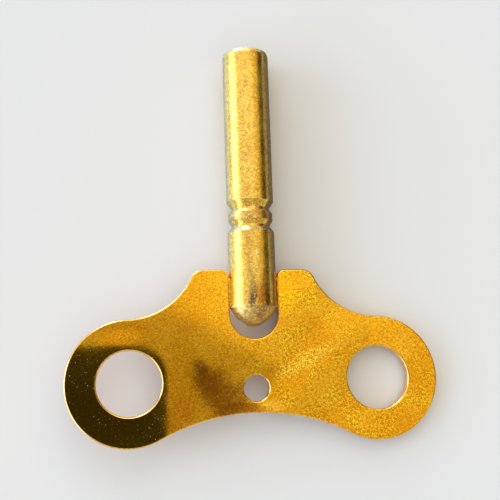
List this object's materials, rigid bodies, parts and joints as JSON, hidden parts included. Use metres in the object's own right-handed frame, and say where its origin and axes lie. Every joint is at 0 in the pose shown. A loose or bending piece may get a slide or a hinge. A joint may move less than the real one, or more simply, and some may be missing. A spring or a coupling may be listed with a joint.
{
  "type": "clock winding key",
  "caption": "Brass clock winding key: a flat finger bow with lobes, finger holes and a hanging hole, brazed to a turned stem with a square socket that slips over a winding arbor.",
  "frame": {"origin": "centre of the square socket's mouth, on the stem's axis", "axes": "+Y along the stem from the socket mouth to the bow, +Z square to the bow's flat face, +X across the bow"},
  "size_m": [0.054, 0.058, 0.0068],
  "materials": {
    "bow_brass": "tumbled sheet brass, gold-orange, lightly tarnished",
    "stem_brass": "turned brass, paler, satin with fine speckle",
    "braze": "dull brown braze"
  },
  "bodies": {
    "root": {"bow_plate": "bow_brass", "stem": "stem_brass", "braze_seams": "braze"}
  },
  "joints": []
}
